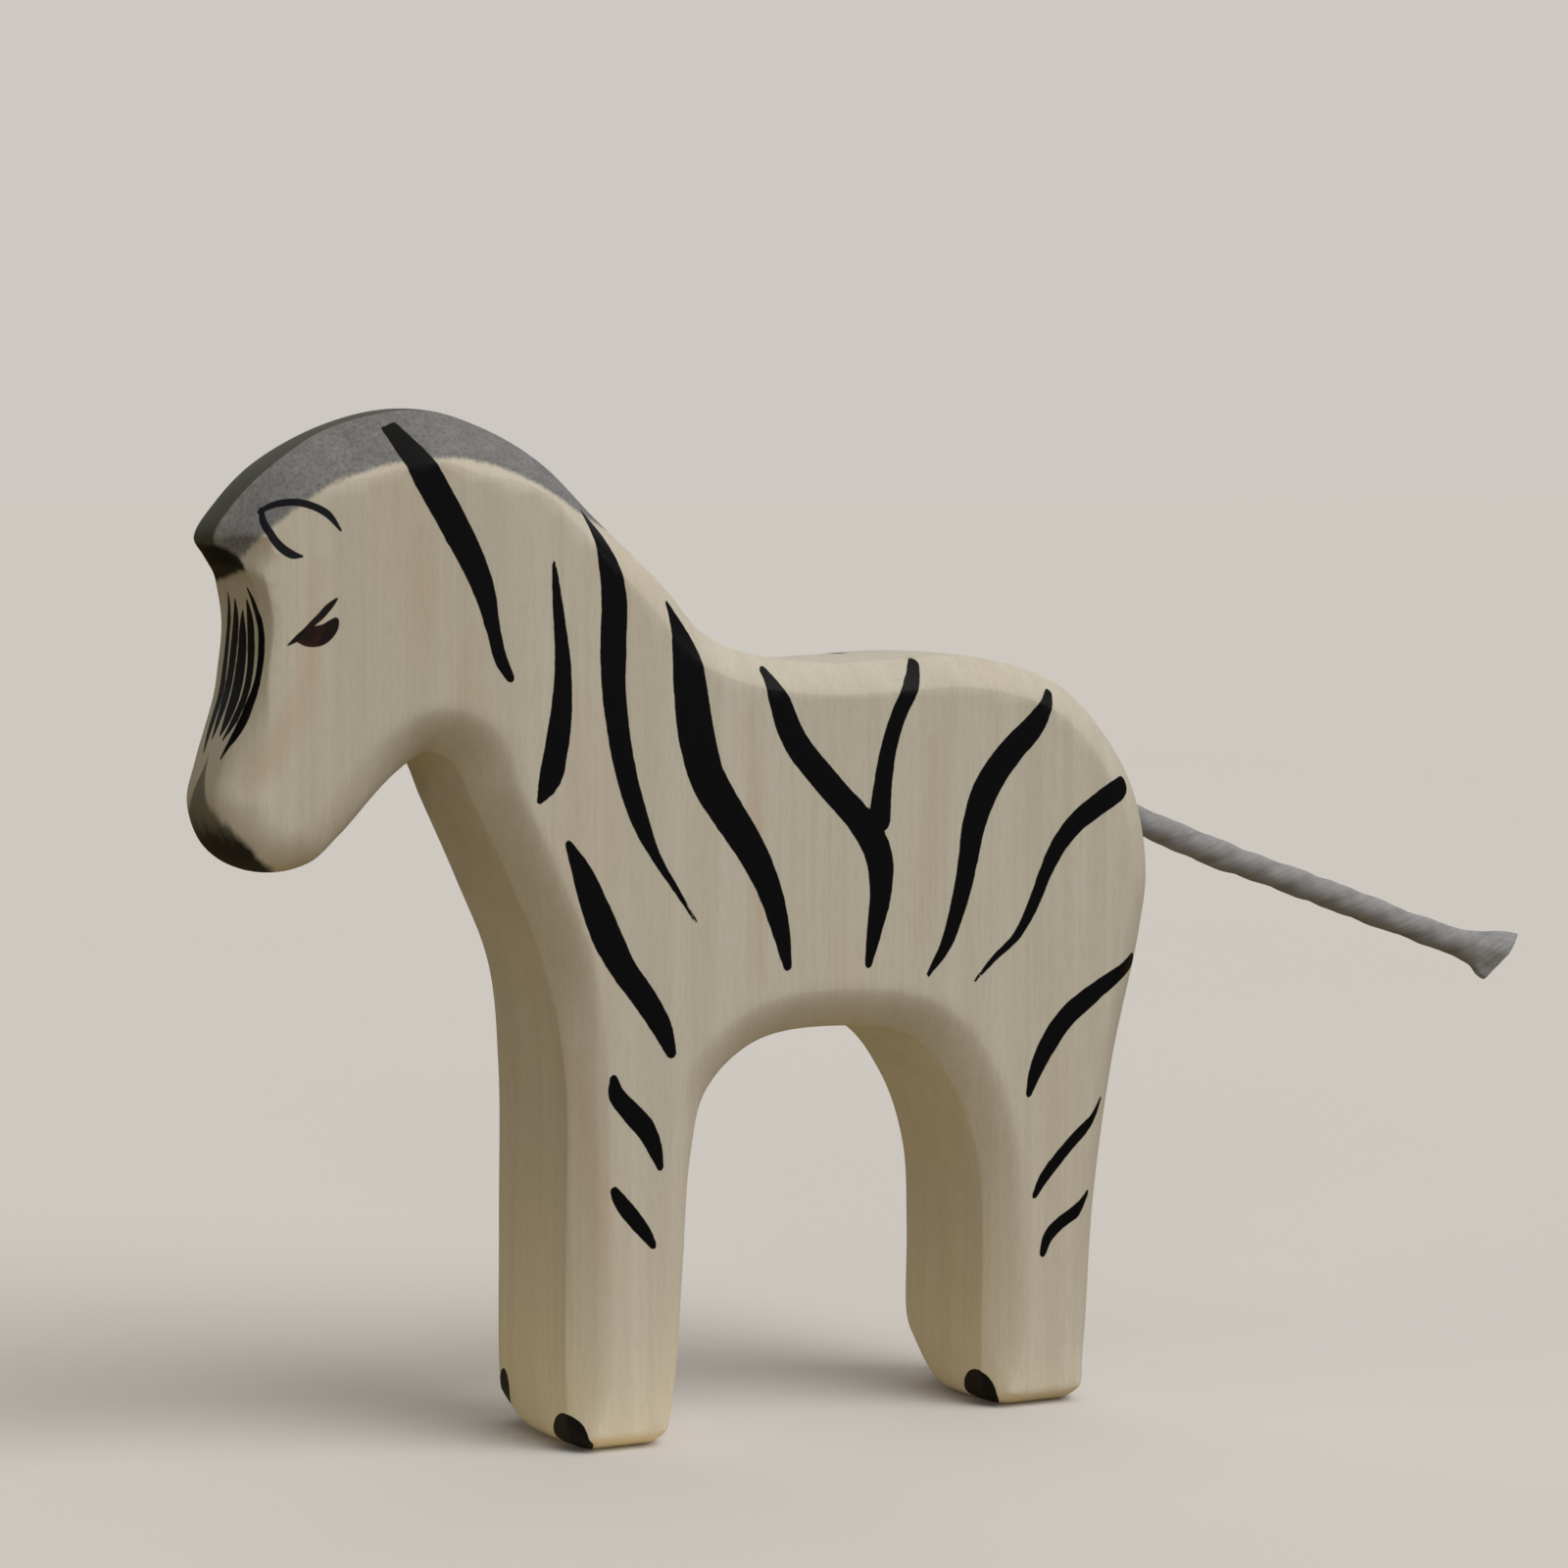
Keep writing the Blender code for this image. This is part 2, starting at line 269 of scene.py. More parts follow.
shader.inputs["Sheen Roughness"].default_value = 0.6
bump = add(tree, "Bump", Height=yarn, Strength=0.35, Distance=0.00012)
tree.links.new(bump.outputs[0], shader.inputs["Normal"])
tail.data.materials.append(cotton)
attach(tail, "root")
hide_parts("tail_cord")

# The body: one hardwood board sawn to the outline of a zebra, its grain running up the legs. The
# saw's edges were rubbed down by hand, each stretch by its own width and depth, and the head was
# thinned towards the nose. A blind hole in the rump takes the tail.
HEIGHT = 130.0
HALF_BOARD = 13.6
HALF_NOSE = 8.5
TAPER = (-24.7, -62.4)  # X where the board starts to thin, and where it is thinnest
# How wide and how deep each stretch of the edge was rubbed down, in millimetres, and how roundly the
# cut runs out on the side and meets the rim: 1 leaves a crease, 2 a full round
FORELOCK = (4.5, 5.2, 1.2, 1.03)
CREST = (6.6, 7.6, 1.25, 1.05)
NECK = (4.4, 6.0, 1.3, 1.15)
BACK = (4.1, 3.5, 1.25, 1.25)
LEG = (4.4, 3.5, 1.4, 1.06)
SOLE = (2.0, 3.4, 1.35, 1.2)
ARCH = (5.3, 3.6, 1.5, 1.08)
CHEST = (4.8, 4.7, 1.5, 1.05)
THROAT = (5.8, 4.8, 1.6, 1.08)
MUZZLE = (5.6, 4.2, 1.8, 1.6)
NOSE = (1.1, 2.5, 1.4, 1.15)
# The outline clockwise from the forelock's tip, X and height in shares of the whole height
OUTLINE = [
    (FORELOCK, [(-0.4970, 0.880), (-0.475, 0.914), (-0.436, 0.950)]),
    (CREST, [(-0.375, 0.984), (-0.295, 1.000), (-0.235, 0.984)]),
    (NECK, [(-0.180, 0.951), (-0.120, 0.896)]),
    (BACK, [(-0.059, 0.833), (-0.015, 0.786), (0.035, 0.7655), (0.110, 0.7555), (0.190, 0.7570),
            (0.265, 0.7600), (0.325, 0.7510), (0.386, 0.729), (0.437, 0.683), (0.476, 0.621)]),
    (LEG, [(0.493, 0.540), (0.485, 0.475), (0.4535, 0.345), (0.431, 0.200), (0.421, 0.060)]),
    (SOLE, [(0.413, 0.013), (0.392, 0.0), (0.328, 0.0), (0.305, 0.010)]),
    (LEG, [(0.300, 0.060), (0.301, 0.165), (0.296, 0.250)]),
    (ARCH, [(0.270, 0.322), (0.221, 0.3795), (0.120, 0.3965), (0.040, 0.385), (-0.012, 0.341)]),
    (LEG, [(-0.029, 0.280), (-0.038, 0.165), (-0.047, 0.055)]),
    (SOLE, [(-0.058, 0.011), (-0.080, 0.0), (-0.135, 0.0), (-0.158, 0.010)]),
    (LEG, [(-0.163, 0.055), (-0.163, 0.200), (-0.163, 0.360)]),
    (CHEST, [(-0.178, 0.462), (-0.212, 0.545), (-0.252, 0.628)]),
    (THROAT, [(-0.272, 0.667), (-0.296, 0.678), (-0.325, 0.660)]),
    (MUZZLE, [(-0.383, 0.600), (-0.412, 0.575), (-0.455, 0.569), (-0.488, 0.591),
              (-0.5025, 0.632), (-0.494, 0.670)]),
    (NOSE, [(-0.467, 0.745), (-0.461, 0.800), (-0.467, 0.840)]),
    (FORELOCK, [(-0.488, 0.864)]),
]
RIM_POINTS = 960
RIM_ROWS = 40
RINGS = 9
LATTICE = 1.5  # the steps of the mesh on the flat, along the stripes and at the ear and eye
STRIPE_LATTICE = 0.5
FINE_LATTICE = 0.2
STRIPE_BAND = 0.7  # how far to either side of a stripe's border its lattice reaches
FINE_BAND = 0.5  # how far theirs reaches past the ear's and the eye's strokes
RIM_GAP = 0.25  # the least distance of these points from the rim
LEAST_STEP = 0.16  # points that share a cell of this size become one
HEAD_BOX = ((-62, 98), (-47, 121))  # X and height of two corners round the ear and the eye
RIM_CROWN = 0.22  # how far the rim swells in its middle

rows = np.array([(x, z, *edge) for edge, points in OUTLINE for x, z in points])
rows[:, :2] *= HEIGHT
rim = smooth_way(rows, RIM_POINTS + 1, closed=True, plane=2)[:-1]
rim[:, 1] = np.maximum(rim[:, 1], 0.0)
rim[:, 1] *= HEIGHT / rim[:, 1].max()
rim[:, 0] -= (rim[:, 0].min() + rim[:, 0].max()) / 2
rim_place, rim_width, rim_depth, rim_round, rim_brow = rim[:, :2], *rim[:, 2:].T


def half_board(x):
    """Half the board's thickness: even over the trunk, thinner towards the nose by a soft S."""
    return HALF_BOARD - (HALF_BOARD - HALF_NOSE) * smooth_step((TAPER[0] - x) / (TAPER[0] - TAPER[1]))


def in_parts(work, points, *others, part=1500):
    """work(points, ...) done a part of the points at a time, so that its arrays stay small."""
    return np.concatenate([work(points[i : i + part], *others) for i in range(0, len(points), part)])


def to_pieces(points, starts, ends):
    """Distance from each point to each straight piece, and how far along the piece that is, 0 to 1."""
    along = ends - starts
    away = points[:, None] - starts
    share = np.clip((away * along).sum(-1) / (along * along).sum(-1), 0, 1)
    return np.linalg.norm(away - share[..., None] * along, axis=-1), share


def edge_cut(points):
    """For each point of the side view, the deepest cut of all stretches of the edge, the least
    distance to where a cut ends, and the distance to the rim. The cut of one stretch is
    depth(1 - (1 - l^s)^(1/t)), with l the share of its width that is left between the point and
    where it ends, s its roundness on the side and t its roundness at the rim."""
    after = np.roll(rim, -1, axis=0)
    away, share = to_pieces(points, rim_place, after[:, :2])
    width = rim_width + share * (after[:, 2] - rim_width)
    depth = rim_depth + share * (after[:, 3] - rim_depth)
    left = np.clip(1 - away / width, 0, 1)
    cut = depth * (1 - (1 - left**rim_round) ** (1 / rim_brow))
    return np.stack([cut.max(axis=1), (away - width).min(axis=1), away.min(axis=1)], axis=1)


def inside_rim(points):
    """Whether each point lies inside the outline: a ray to +X crosses it an odd number of times."""
    a, b = rim_place, np.roll(rim_place, -1, axis=0)
    x, z = points[:, :1], points[:, 1:]
    spans = (a[:, 1] > z) != (b[:, 1] > z)
    slope = (b[:, 0] - a[:, 0]) / np.where(a[:, 1] == b[:, 1], 1e-9, b[:, 1] - a[:, 1])
    return (spans & (x < a[:, 0] + slope * (z - a[:, 1]))).sum(axis=1) % 2 == 1


def lattice(low, high, step):
    """Points of a hexagonal lattice over a box: rows 0.866 steps apart, every other one moved by
    half a step."""
    x, z = np.meshgrid(np.arange(low[0], high[0], step), np.arange(low[1], high[1], step * 0.866))
    x[1::2] += step / 2
    return np.stack([x.ravel(), z.ravel()], axis=1)


STROKE_PIECES = 4  # straight pieces for each point of a stroke
STROKE_REACH = 4.0  # how far past a stroke's middle line its distance is worked out
FAR_OFF = 50.0


def stroke_distance(points, strokes):
    """Signed distance from each point to the nearest brush stroke, less than 0 inside and FAR_OFF
    where none is near: a stroke is a smooth line whose width changes smoothly along it, with round
    ends."""
    best = np.full(len(points), FAR_OFF)
    for stroke in strokes:
        way = smooth_way(stroke, STROKE_PIECES * len(stroke) + 1, plane=2)
        low, high = way[:, :2].min(axis=0) - STROKE_REACH, way[:, :2].max(axis=0) + STROKE_REACH
        near = ((points > low) & (points < high)).all(axis=1)
        if not near.any():
            continue
        away, share = to_pieces(points[near], way[:-1, :2], way[1:, :2])
        half = (way[:-1, 2] + share * np.diff(way[:, 2])) / 2
        best[near] = np.minimum(best[near], (away - half).min(axis=1))
    return best


# The black stripes, each a stroke of a loaded round brush: X, height and width along its middle
STRIPES = [
    [(-42.3, 128.3, 2.0), (-40.5, 123.6, 3.4), (-36.6, 116.4, 3.6), (-33.0, 108.9, 2.9),
     (-31.5, 103.0, 1.8), (-30.6, 99.5, 1.7), (-29.4, 97.2, 1.1)],
    [(-23.6, 111.4, 0.5), (-23.2, 107.4, 1.2), (-22.4, 98.6, 2.2), (-22.6, 93.0, 2.9),
     (-23.4, 88.0, 3.2), (-24.2, 84.6, 3.0), (-25.6, 82.0, 0.8)],
    [(-18.4, 117.6, 0.4), (-16.6, 113.4, 2.4), (-15.4, 107.0, 3.5), (-15.5, 100.7, 3.6),
     (-15.4, 95.0, 3.3), (-14.0, 86.0, 2.9), (-12.0, 79.5, 2.5), (-9.7, 74.6, 1.4),
     (-6.7, 70.1, 0.8), (-4.0, 66.0, 0.4)],
    [(-7.4, 106.2, 0.5), (-5.6, 100.5, 3.6), (-4.8, 95.1, 4.7), (-4.0, 89.6, 5.1),
     (-2.4, 84.1, 4.9), (0.4, 79.7, 4.6), (3.5, 75.2, 4.2), (6.1, 70.3, 3.5), (7.8, 65.1, 2.7),
     (8.9, 60.0, 1.3)],
    [(6.2, 97.4, 1.2), (7.8, 93.4, 3.0), (9.9, 88.6, 3.5), (13.0, 84.8, 3.6), (16.3, 81.3, 3.6),
     (19.7, 77.7, 3.8), (22.1, 73.6, 3.9), (22.4, 68.7, 3.2), (21.5, 64.0, 2.3),
     (20.6, 59.6, 1.0)],
    [(28.6, 97.9, 1.4), (26.9, 94.9, 2.2), (24.9, 91.2, 2.3), (23.5, 87.0, 2.4),
     (22.7, 82.5, 2.7), (22.2, 78.0, 3.2)],
    [(48.0, 93.6, 1.3), (45.4, 89.8, 3.1), (41.5, 86.1, 3.7), (38.2, 81.9, 3.9),
     (36.2, 77.0, 3.5), (35.2, 71.8, 2.9), (33.9, 66.6, 2.4), (32.0, 61.5, 1.7),
     (29.4, 57.8, 0.6)],
    [(59.0, 81.2, 2.7), (57.8, 80.6, 3.1), (55.6, 79.3, 3.0), (51.9, 76.9, 2.8), (49.0, 73.8, 2.4),
     (46.8, 69.9, 1.9), (45.0, 65.9, 1.7), (42.6, 62.2, 1.2), (39.2, 59.4, 0.8),
     (36.3, 56.6, 0.4)],
    [(61.6, 57.9, 2.2), (57.0, 55.7, 2.1), (53.5, 53.5, 2.7), (50.2, 51.1, 2.8),
     (47.6, 47.9, 2.7), (45.6, 44.3, 2.0), (44.6, 41.4, 0.9)],
    [(-21.7, 76.6, 1.0), (-19.8, 72.8, 2.8), (-18.0, 68.3, 3.8), (-16.2, 64.3, 4.0),
     (-14.1, 60.6, 3.5), (-11.4, 57.0, 3.3), (-8.9, 53.1, 2.8), (-7.6, 49.9, 1.5)],
    [(-15.6, 47.0, 1.2), (-15.2, 45.0, 2.2), (-13.3, 42.8, 2.7), (-11.2, 40.5, 2.7),
     (-9.8, 37.7, 2.0), (-9.2, 35.6, 1.0)],
    [(-15.5, 33.0, 1.2), (-14.7, 31.6, 1.9), (-12.9, 29.4, 2.1), (-11.2, 27.3, 1.7),
     (-10.2, 25.8, 1.0)],
    [(45.5, 27.9, 0.8), (47.1, 30.4, 1.5), (49.8, 33.3, 1.6), (52.5, 35.8, 1.5),
     (54.8, 37.9, 1.1), (56.4, 40.0, 0.6)],
    [(46.8, 20.2, 1.0), (47.6, 22.3, 1.6), (49.4, 24.0, 1.7), (51.8, 25.4, 1.7),
     (54.2, 27.6, 0.8)],
]
# The ear's and the eye's fine strokes
EAR = [
    [(-59.3, 117.5, 0.4), (-57.7, 118.4, 0.7), (-55.6, 118.7, 0.9), (-53.4, 118.2, 0.9),
     (-51.6, 117.2, 0.9), (-50.1, 115.3, 0.3)],
    [(-59.0, 117.9, 0.4), (-59.1, 116.2, 0.8), (-58.5, 114.6, 1.0), (-57.3, 113.2, 1.1),
     (-56.0, 112.4, 1.0), (-54.8, 112.2, 0.3)],
]
EYE = [
    [(-56.7, 101.5, 0.2), (-55.4, 102.4, 0.8), (-54.4, 103.2, 0.9), (-53.5, 104.2, 0.8),
     (-52.6, 105.0, 0.9), (-51.8, 105.9, 0.9), (-51.2, 106.5, 0.7), (-50.6, 107.1, 0.3)],
    [(-55.0, 102.2, 1.1), (-54.1, 102.4, 2.2), (-52.9, 102.6, 2.5), (-51.9, 103.1, 2.1),
     (-51.2, 103.8, 1.6), (-50.8, 104.4, 0.9)],
]
# Pinkish streaks of heartwood in the board, seen on both sides
HEARTWOOD = [
    [(-52.4, 112.0, 1.0), (-53.4, 103.0, 2.0), (-55.4, 94.0, 2.6), (-58.6, 88.4, 2.8),
     (-61.0, 84.5, 1.6)],
    [(-40.4, 115.4, 0.8), (-40.2, 109.5, 1.4), (-40.0, 102.0, 0.6)],
    [(-34.2, 103.0, 0.4), (-34.6, 96.0, 1.4), (-35.0, 90.5, 0.4)],
    [(-19.9, 50.0, 0.6), (-18.6, 41.1, 1.8), (-17.3, 31.3, 2.2), (-16.5, 20.5, 0.6)],
    [(3.0, 92.0, 0.6), (4.6, 72.0, 1.4), (5.4, 58.0, 0.6)],
    [(30.5, 88.0, 0.6), (29.4, 74.0, 1.4), (28.6, 62.0, 0.6)],
]


def far_side(points):
    """Where a point of the far side lies on the near side's drawing: the strokes there were drawn
    freely again, so they sit up to a millimetre off."""
    x, z = points[:, 0], points[:, 1]
    return np.stack([x + 0.9 * np.sin(z / 15 + 0.7), z + 0.8 * np.sin(x / 12 + 2.0)], axis=1)


def side_places(drawn):
    """The points of one side: rings that follow the rim over the rubbed edge, each set in by
    width(1 - (cos t)^(2/s)) for even steps of t, an open lattice over the flat, and close ones along
    the borders of the strokes. drawn takes a point to the drawing."""
    along = np.roll(rim_place, -1, axis=0) - np.roll(rim_place, 1, axis=0)
    inward = np.stack([along[:, 1], -along[:, 0]], axis=1) / np.linalg.norm(along, axis=1)[:, None]
    turn = np.arange(1, RINGS + 1)[:, None] / RINGS * math.pi / 2
    inset = rim_width * (1 - np.cos(turn) ** (2 / rim_round))
    rings = (rim_place + inward * inset[..., None]).reshape(-1, 2)
    clear = in_parts(edge_cut, rings)[:, 2] > 0.95 * inset.ravel()
    rings = rings[clear & inside_rim(rings)]
    low, high = rim_place.min(axis=0), rim_place.max(axis=0)
    open_ones = lattice(low, high, LATTICE)
    open_ones = open_ones[inside_rim(open_ones)]
    open_ones = open_ones[in_parts(edge_cut, open_ones)[:, 1] > LATTICE / 3]
    close = lattice(low, high, STRIPE_LATTICE)
    close = close[np.abs(stroke_distance(drawn(close), STRIPES)) < STRIPE_BAND]
    fine = lattice(*HEAD_BOX, FINE_LATTICE)
    fine = fine[stroke_distance(drawn(fine), EAR + EYE) < FINE_BAND]
    brushed = np.vstack([close, fine])
    brushed = brushed[inside_rim(brushed)]
    brushed = brushed[in_parts(edge_cut, brushed)[:, 2] > RIM_GAP]
    found = np.vstack([brushed, rings, open_ones])
    cell = np.round(found / LEAST_STEP).astype(int)
    _, first = np.unique(cell, axis=0, return_index=True)
    return found[np.sort(first)]


def side_faces(inner):
    """Triangles between the rim's points and the lattice, anticlockwise in the side view."""
    flat = np.vstack([rim_place, inner])
    border = [(i, (i + 1) % RIM_POINTS) for i in range(RIM_POINTS)]
    _, _, faces, sources, _, _ = delaunay_2d_cdt([Vector(p) for p in flat], border, [], 1, 1e-6)
    return np.array([source[0] for source in sources])[np.array(faces)]


rim_half = half_board(rim_place[:, 0]) - rim_depth
near_inner, far_inner = side_places(lambda points: points), side_places(far_side)
near_high, far_high = (
    half_board(inner[:, 0]) - in_parts(edge_cut, inner)[:, 0] for inner in (near_inner, far_inner)
)


def rim_surface():
    """The rim: rows from the near side to the far one, each the outline moved across the board, and
    swelling out by crown(1 - v^2) in its middle."""
    v = np.linspace(-1, 1, RIM_ROWS + 1)[:, None]
    along = np.roll(rim_place, -1, axis=0) - np.roll(rim_place, 1, axis=0)
    outward = np.stack([-along[:, 1], along[:, 0]], axis=1) / np.linalg.norm(along, axis=1)[:, None]
    swell = RIM_CROWN * (1 - v**2)
    x = rim_place[:, 0] + outward[:, 0] * swell
    z = np.maximum(rim_place[:, 1] + outward[:, 1] * swell, 0.0)
    z = np.where(rim_place[:, 1] < 0.01, 0.0, z)
    return np.stack([x, v * rim_half, z], axis=-1)


rim_grid = rim_surface()
near_places = np.stack([near_inner[:, 0], -near_high, near_inner[:, 1]], axis=1)
far_places = np.stack([far_inner[:, 0], far_high, far_inner[:, 1]], axis=1)
body_places = np.vstack([rim_grid.reshape(-1, 3), near_places, far_places])
near_start = rim_grid.shape[0] * RIM_POINTS
far_start = near_start + len(near_places)
far_rim = RIM_ROWS * RIM_POINTS
near_faces = side_faces(near_inner)
near_faces = np.where(near_faces < RIM_POINTS, near_faces, near_faces - RIM_POINTS + near_start)
far_faces = side_faces(far_inner)[:, ::-1]
far_faces = np.where(far_faces < RIM_POINTS, far_faces + far_rim, far_faces - RIM_POINTS + far_start)
rim_faces = ring_faces(RIM_ROWS + 1, RIM_POINTS)

# The feet's two far front corners were rubbed off: the slope of each cut, its place along that
# slope, how softly it runs out, and whether it is the hind foot's
FOOT_CORNERS = [((-0.45, 0.60, -0.66), -16.6, 0.9, True), ((-0.35, 0.43, -0.83), 8.1, 0.6, False)]
BETWEEN_FEET = 15.0
for slope, place, soft, hind in FOOT_CORNERS:
    slope = np.array(slope) / np.linalg.norm(slope)
    over = (body_places @ slope - place) / soft
    over = soft * np.logaddexp(0, over) * ((body_places[:, 0] > BETWEEN_FEET) == hind)
    body_places -= over[:, None] * slope
body = mesh_from("zebra_body", body_places * MM, rim_faces, near_faces, far_faces)


def tube(name, radius, start, end, around):
    """A closed straight cylinder between two places, in millimetres."""
    way = (end - start) / np.linalg.norm(end - start)
    side = np.array([0.0, 1.0, 0.0])
    up = np.cross(way, side)
    turn = np.linspace(0, 2 * math.pi, around, endpoint=False)[:, None]
    ring = radius * (side * np.sin(turn) + up * np.cos(turn))
    caps = np.stack([np.arange(around)[::-1], np.arange(around) + around])
    return mesh_from(name, np.vstack([start + ring, end + ring]) * MM, ring_faces(2, around), caps)


SOCKET_RADIUS = 2.2
SOCKET_DEPTH = 9.0
DRILL_OUT = 7.6  # how far the drill stands out of the hole's mouth
DRILL_AROUND = 48
tail_way = np.array([TAIL_WAY[2][0], 0.0, TAIL_WAY[2][1]])
tail_way /= np.linalg.norm(tail_way)
drill = tube("tail_drill", SOCKET_RADIUS, TAIL_MOUTH / MM - tail_way * SOCKET_DEPTH,
             TAIL_MOUTH / MM + tail_way * DRILL_OUT, DRILL_AROUND)
cut = body.modifiers.new("tail socket", "BOOLEAN")
cut.operation = "DIFFERENCE"
cut.solver = "EXACT"
cut.object = drill
bpy.context.view_layer.update()
drilled = bpy.data.meshes.new_from_object(body.evaluated_get(bpy.context.evaluated_depsgraph_get()))
body.modifiers.clear()
body.data = drilled
bpy.data.objects.remove(drill)
drilled.name = "zebra_body"
drilled.shade_smooth()
SHARP_ANGLE = math.radians(55)  # keeps the mouth of the hole crisp
drilled.set_sharp_from_angle(angle=SHARP_ANGLE)

# The paint goes on with a brush, thin as ink for the grey mane and muzzle and full for the black
# stripes, the nose's lines and the hooves. Where the mane's wash turns onto the rim, facing forward
# and up away from the sides, it is painted darker as painted shade. Each kind is kept as a distance
# in millimetres from the border of the painted place, and the material decides how sharp that border
# is. The nose's lines run over the front: Y, height and width.
NOSE_LINES = [
    [(2.8, 107.6, 0.5), (3.2, 105.0, 1.2), (3.9, 101.6, 1.4), (3.8, 98.0, 1.7), (3.1, 94.6, 1.7),
     (2.8, 91.5, 1.5), (2.0, 88.2, 0.4)],
    [(0.7, 107.0, 0.4), (0.8, 104.8, 1.7), (1.4, 101.4, 2.2), (1.4, 98.0, 2.2), (1.1, 94.8, 2.1),
     (0.8, 91.9, 1.4), (0.7, 90.0, 0.4)],
    [(-1.5, 105.6, 0.4), (-1.3, 103.4, 2.0), (-1.4, 100.6, 2.7), (-1.6, 97.4, 3.0), (-1.8, 94.2, 2.7),
     (-1.7, 91.9, 1.6), (-1.4, 90.4, 0.4)],
    [(-3.1, 106.9, 0.4), (-3.6, 104.6, 1.8), (-4.0, 101.9, 2.1), (-4.5, 98.6, 1.9), (-4.6, 95.4, 1.8),
     (-4.0, 92.6, 1.6), (-2.7, 90.0, 0.4)],
    [(-3.9, 108.4, 0.4), (-5.1, 106.4, 1.1), (-6.3, 104.1, 1.2), (-6.8, 100.8, 1.3), (-6.8, 97.4, 1.2),
     (-6.3, 94.6, 1.3), (-5.4, 91.1, 1.4), (-3.8, 87.8, 0.4)],
]
# X and height along the mane's lower border
MANE_BORDER = [(-70, 109.2), (-63, 109.4), (-61.4, 111.8), (-60.4, 113.5), (-58.7, 115.4),
               (-57.2, 116.6), (-54.7, 118.7), (-52, 120.3), (-49.4, 121.6), (-46, 122.8),
               (-43, 123.5), (-37.7, 124.1), (-34.6, 124.0), (-30.6, 123.1), (-27.4, 121.9),
               (-24, 120.1), (-19, 117.4), (-14, 115.2), (-12, 116.0), (-9, 125.0)]
HOOVES = [  # the middle and the three radii of each blot, before the foot's front corner
    ((-21.0, -9.8, 0.9), (3.8, 4.1, 3.9)),
    ((-20.6, 8.6, 3.6), (3.4, 1.9, 3.8)),
    ((39.3, -9.0, 0.6), (2.9, 3.9, 4.2)),
]
HOOF_RADIUS = 3.2  # about the radius of a blot, to turn shares of it into millimetres
STRIPE_SIDE = 5.7  # how far from the board's middle a side's stripes start
MARK_SIDE = 5.0  # the same for the ear and the eye
NOSE_END = -55.0  # X past which the nose's lines stop
FORELOCK_END = -58.0  # the same for the forelock's patch
MUZZLE_END = -45.0  # and for the muzzle's wash
UNPAINTED = 20.0  # the greatest distance that is kept


def painted(places):
    """Distances to the borders of each kind of paint, in millimetres: those of strokes are less than
    0 inside, and the mane's, the muzzle's and the forelock's are more than 0 inside. The muzzle ends
    at a slanting line that climbs to a tip on the nose, 8.5 exp(-|y|/1.7) over it. The forelock
    lies between a slightly tilted line and one that drops at its ends by 2.2 (|y|/5.5)^5."""
    x, y, z = places.T
    seen = np.stack([x, z], axis=1)
    near = y < 0
    drawn = np.where(near[:, None], seen, far_side(seen))
    stripes, nose, ear, eye, heart = (
        in_parts(stroke_distance, points, strokes, part=4000)
        for points, strokes in ((drawn, STRIPES), (np.stack([y, z], axis=1), NOSE_LINES), (drawn, EAR),
                                (drawn, EYE), (seen, HEARTWOOD))
    )
    black = np.maximum(stripes, STRIPE_SIDE - np.abs(y))
    black = np.minimum(black, np.where(x < NOSE_END, nose, FAR_OFF))
    for middle, radii in HOOVES:
        out = np.linalg.norm((places - middle) / radii, axis=1) - 1
        black = np.minimum(black, out * HOOF_RADIUS)
    ear = np.maximum(ear, MARK_SIDE - np.abs(y))
    eye = np.maximum(eye, MARK_SIDE - np.abs(y))
    border = np.array(MANE_BORDER)
    above = z - np.interp(x, border[:, 0], border[:, 1])
    slope = (np.interp(x + 0.5, border[:, 0], border[:, 1])
             - np.interp(x - 0.5, border[:, 0], border[:, 1]))
    mane = above / np.sqrt(1 + slope**2)
    muzzle = (16.3 + 8.5 * np.exp(-np.abs(y) / 1.7) - (x + z)) / math.sqrt(2)
    muzzle = np.where(x < MUZZLE_END, muzzle, -UNPAINTED)
    forelock = np.minimum(z - 109.6 + 0.13 * y, 113.7 - 2.2 * (np.abs(y) / 5.5) ** 5 - z)
    forelock = np.where(x < FORELOCK_END, forelock, -UNPAINTED)
    return {"black": black, "ear": ear, "eye": eye, "mane": mane, "muzzle": muzzle,
            "forelock": forelock, "heart": heart}


spots = np.empty(len(drilled.vertices) * 3, np.float32)
drilled.vertices.foreach_get("co", spots)
spots = spots.reshape(-1, 3).astype(float) / MM
facing = np.empty(len(drilled.vertices) * 3, np.float32)
drilled.vertex_normals.foreach_get("vector", facing)
# How far each point faces away from the board's sides, 0 on a side and 1 on the rim, for the painted
# shade on the mane's rim
keep_values(drilled, "rim", 1 - np.abs(facing[1::3]))
for kind, distance in painted(spots).items():
    keep_values(drilled, kind, np.clip(distance, -UNPAINTED, UNPAINTED))


wood, tree, shader = new_material("painted hardwood")
place = add(tree, "TexCoord").outputs["Object"]
marks = {kind: add(tree, "Attribute", {"attribute_name": kind}).outputs["Fac"]
         for kind in ("black", "ear", "eye", "mane", "muzzle", "forelock", "heart", "rim")}
fuzz = noise(tree, place, 3200, 2, 0.6, (1, 1, 0.14))
fibre = noise(tree, place, 1500, 2, 0.5, (1, 0.8, 0.02))
streak = noise(tree, place, 420, 2, 0.5, (1, 0.6, 0.02))
tone = noise(tree, place, 48, 2, 0.5, (1, 0.6, 0.35))
bare = mixed(tree, ramp(tree, streak, 0.32, 0.68), colour(195, 189, 175), colour(201, 195, 182))
bare = laid(tree, ramp(tree, tone, 0.42, 0.72), 0.40, bare, colour(196, 185, 165))
bare = laid(tree, ramp(tree, fibre, 0.60, 0.34), 0.12, bare, colour(172, 160, 134))
bare = laid(tree, ramp(tree, fuzz, 0.55, 0.30), 0.13, bare, colour(156, 146, 122))
